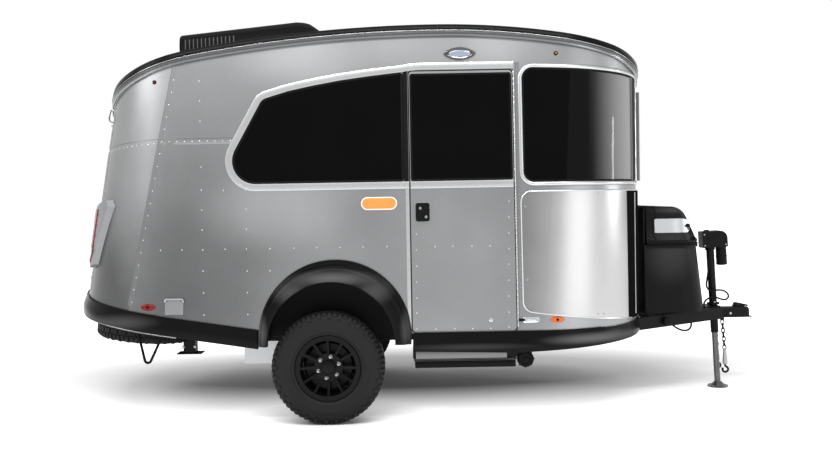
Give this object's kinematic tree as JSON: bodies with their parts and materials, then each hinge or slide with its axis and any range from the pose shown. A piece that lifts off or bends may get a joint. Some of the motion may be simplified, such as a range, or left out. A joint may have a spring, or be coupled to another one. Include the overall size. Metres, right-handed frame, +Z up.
{
  "type": "travel caravan",
  "caption": "Compact riveted-aluminium travel caravan with wrap-round windows, opening entry door and rear hatch, black wheel flares, drawbar, bottle cover and nose jack.",
  "frame": {"origin": "on the ground below the centre of the overall length and width", "axes": "+X towards the hitch, +Y to the left (the side without the entry door), +Z up"},
  "size_m": [4.9124, 2.134, 2.716],
  "materials": {
    "frame_black": "satin",
    "underfloor": "matt",
    "aluminium_skin": "brushed",
    "roof_aluminium": "brushed",
    "dark_glass": "gloss",
    "guard_steel": "satin",
    "trim_black": "satin",
    "shroud_black": "matt",
    "smoked_plastic": "gloss",
    "lamp_silver": "satin",
    "lens_red": "gloss",
    "lens_amber": "gloss",
    "bottle_paint": "gloss",
    "zinc_steel": "galvanised",
    "tyre": "matt",
    "rim_black": "gloss",
    "cabinet": "matt",
    "cushion_fabric": "woven"
  },
  "bodies": {
    "trailer": {"chassis_frame": "frame_black", "coupler": "frame_black", "axle_beam": "frame_black", "floor_deck": "underfloor", "side_wall_right": "aluminium_skin", "side_wall_left": "aluminium_skin", "front_corner_right": "aluminium_skin", "front_corner_left": "aluminium_skin", "front_wall": "aluminium_skin", "rear_corner_right": "aluminium_skin", "rear_corner_left": "aluminium_skin", "rear_wall": "aluminium_skin", "roof_shell": "roof_aluminium", "side_windows": "dark_glass", "front_windows": "dark_glass", "stone_guards": "guard_steel", "front_skirt": "trim_black", "rear_skirt": "trim_black", "wheel_flares": "trim_black", "wheel_boxes": "underfloor", "air_conditioner": "shroud_black", "roof_vent": "shroud_black", "tail_lamps": "lamp_silver", "tail_lamp_lenses": "lens_red", "marker_lamps": "lens_amber", "bottle_cover": "trim_black", "gas_bottles": "bottle_paint", "jack_tube": "frame_black", "jack_head": "shroud_black", "step_housing": "frame_black", "waste_outlet": "trim_black", "tank_pan": "zinc_steel", "spare_tyre": "tyre", "spare_rim": "rim_black", "spare_carrier": "zinc_steel", "stabilisers": "zinc_steel", "galley_unit": "cabinet", "benches": "cushion_fabric"},
    "wheel_right": {"tyre_right": "tyre", "rim_right": "rim_black"},
    "wheel_left": {"tyre_left": "tyre", "rim_left": "rim_black"},
    "door": {"entry_door": "aluminium_skin", "entry_door_window": "dark_glass", "door_handle": "shroud_black"},
    "hatch": {"rear_hatch": "aluminium_skin", "rear_hatch_window": "dark_glass"},
    "bottle_lid_body": {"bottle_lid": "trim_black"},
    "vent_lid": {"roof_vent_lid": "smoked_plastic"},
    "jack_leg_body": {"jack_leg": "zinc_steel"},
    "step": {"step_tread": "trim_black"}
  },
  "joints": [
    {"name": "wheel_right_spin", "type": "hinge", "parent": "trailer", "child": "wheel_right", "pos_m": [-0.625, -0.916, 0.3665], "axis": [0, 1, 0], "continuous": true},
    {"name": "wheel_left_spin", "type": "hinge", "parent": "trailer", "child": "wheel_left", "pos_m": [-0.625, 0.916, 0.3665], "axis": [0, 1, 0], "continuous": true},
    {"name": "entry_door_hinge", "type": "hinge", "parent": "trailer", "child": "door", "pos_m": [0.602, -0.99671, 1.4], "axis": [0, 0.0558, 0.9984], "range_deg": [0, 165]},
    {"name": "rear_hatch_hinge", "type": "hinge", "parent": "trailer", "child": "hatch", "pos_m": [-2.23556, 0, 1.99], "axis": [0, 1, 0], "range_deg": [0, 85]},
    {"name": "bottle_lid_hinge", "type": "hinge", "parent": "trailer", "child": "bottle_lid_body", "pos_m": [1.61, 0, 1.37], "axis": [0, -1, 0], "range_deg": [0, 60]},
    {"name": "roof_vent_hinge", "type": "hinge", "parent": "trailer", "child": "vent_lid", "pos_m": [0.462, 0.42, 2.612], "axis": [0, 1, 0], "range_deg": [0, 60]},
    {"name": "jack_slide", "type": "slide", "parent": "trailer", "child": "jack_leg_body", "axis": [-0.0488, 0, 0.9988], "range_m": [0, 0.36]},
    {"name": "step_slide", "type": "slide", "parent": "trailer", "child": "step", "axis": [0, -1, 0], "range_m": [0, 0.25]}
  ]
}
